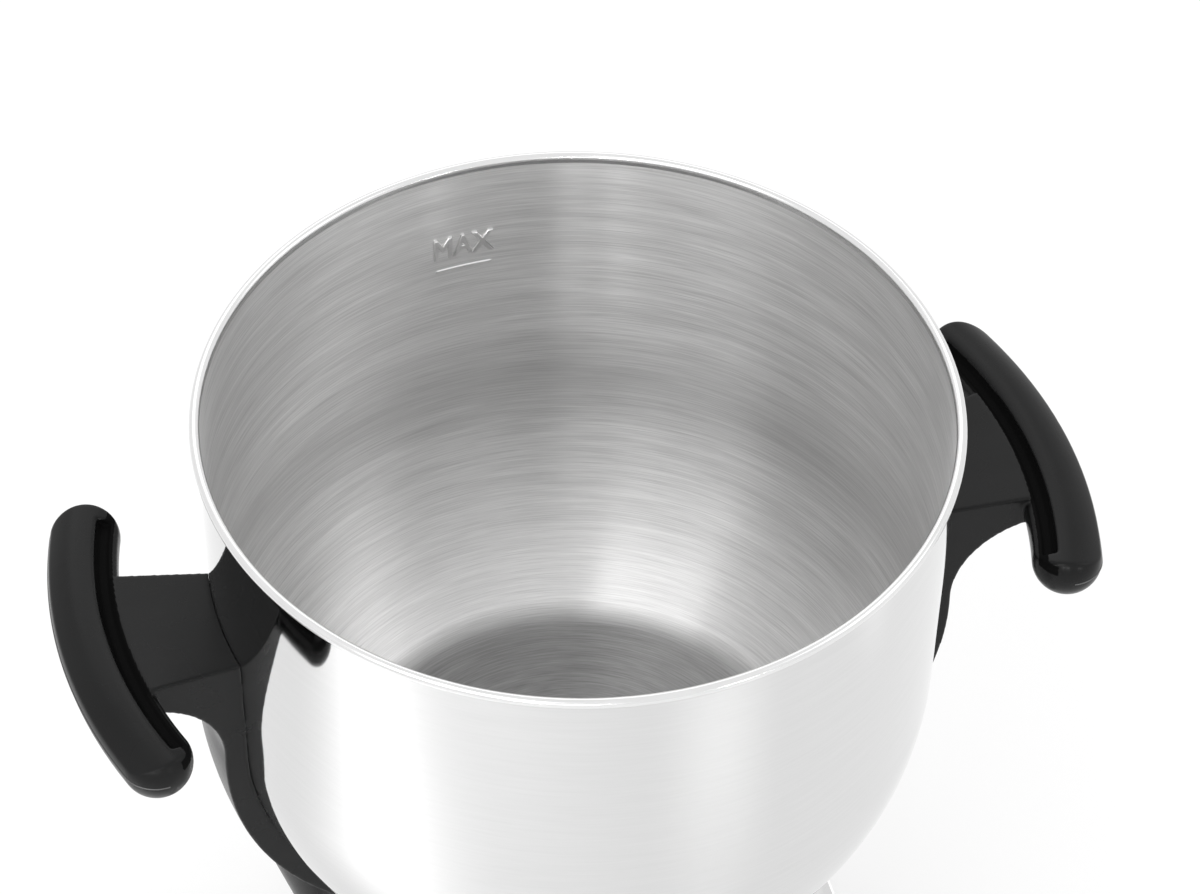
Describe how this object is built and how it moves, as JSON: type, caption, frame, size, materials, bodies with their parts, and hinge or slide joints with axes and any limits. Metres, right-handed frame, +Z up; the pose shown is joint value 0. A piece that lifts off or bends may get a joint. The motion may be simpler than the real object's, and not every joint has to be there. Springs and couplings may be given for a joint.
{
  "type": "samovar",
  "caption": "Electric samovar: open steel vessel with curved black side handles on a flared pedestal and heater base, with a sprung lever tap, heat knob, rocker switch, lamp and mains inlet.",
  "frame": {"origin": "on the table, under the vessel's axis", "axes": "+Z up, tap towards -Y, handles on +X and -X"},
  "size_m": [0.3288, 0.3258, 0.326],
  "materials": {
    "polished_steel": "mirror polish outside, brushed inside",
    "plain_steel": "plain, zinc plated",
    "chrome": "polished chrome plate",
    "handle_plastic": "moulded phenolic, semi-gloss",
    "base_plastic": "fine moulded texture",
    "electric_plastic": "moulded",
    "ceramic": "unglazed insulator",
    "aluminium": "cast",
    "copper": "drawn copper",
    "brass": "bright",
    "rubber": "matt",
    "silicone": "matt",
    "amber_lens": "clear moulded"
  },
  "bodies": {
    "samovar": {"vessel": "polished_steel", "vessel_bowl": "polished_steel", "vessel_floor": "polished_steel", "tap_bush": "polished_steel", "handle_left": "handle_plastic", "handle_right": "handle_plastic", "handle_tongues": "plain_steel", "handle_spuds": "plain_steel", "handle_screws": "plain_steel", "base_gasket": "silicone", "heater_plate": "aluminium", "heating_element": "plain_steel", "thermal_cutout": "ceramic", "thermostat_bulb": "copper", "tie_rod": "plain_steel", "tie_nuts": "plain_steel", "clamp_bar": "plain_steel", "pedestal": "polished_steel", "base_housing": "base_plastic", "base_plate": "plain_steel", "base_screws": "plain_steel", "feet": "rubber", "thermostat": "ceramic", "dial_ring": "plain_steel", "lamp_holder": "electric_plastic", "lamp_lens": "amber_lens", "switch_housing": "electric_plastic", "inlet_housing": "electric_plastic", "inlet_pins": "brass", "inlet_screws": "plain_steel", "tap_body": "chrome", "tap_washers": "silicone", "tap_nut": "plain_steel", "tap_bonnet": "chrome", "tap_spring": "plain_steel"},
    "tap_stem": {"tap_stem": "plain_steel", "seat_plug": "silicone", "lever_pin": "plain_steel"},
    "tap_lever": {"tap_lever": "chrome"},
    "control_knob": {"control_knob": "handle_plastic", "thermostat_shaft": "plain_steel"},
    "switch_rocker": {"switch_rocker": "electric_plastic"}
  },
  "joints": [
    {"name": "stem_lift", "type": "slide", "parent": "samovar", "child": "tap_stem", "axis": [0, 0, 1], "range_m": [0, 0.00501], "deforming": ["tap_spring"]},
    {"name": "lever_tilt", "type": "hinge", "parent": "tap_stem", "child": "tap_lever", "pos_m": [0, -0.158, 0.229], "axis": [1, 0, 0], "range_deg": [0, 30], "stiffness_Nm_per_rad": 0.6, "springref_deg": -11.46},
    {"name": "knob_turn", "type": "hinge", "parent": "samovar", "child": "control_knob", "pos_m": [0, -0.088, 0.03], "axis": [0, 1, 0], "range_deg": [0, 270]},
    {"name": "rocker_tip", "type": "hinge", "parent": "samovar", "child": "switch_rocker", "pos_m": [0.03, -0.087, 0.03], "axis": [1, 0, 0], "range_deg": [0, 18]}
  ],
  "couplings": [
    {"joint": "stem_lift", "follows": "lever_tilt", "m_per_rad": 0.0095493}
  ]
}
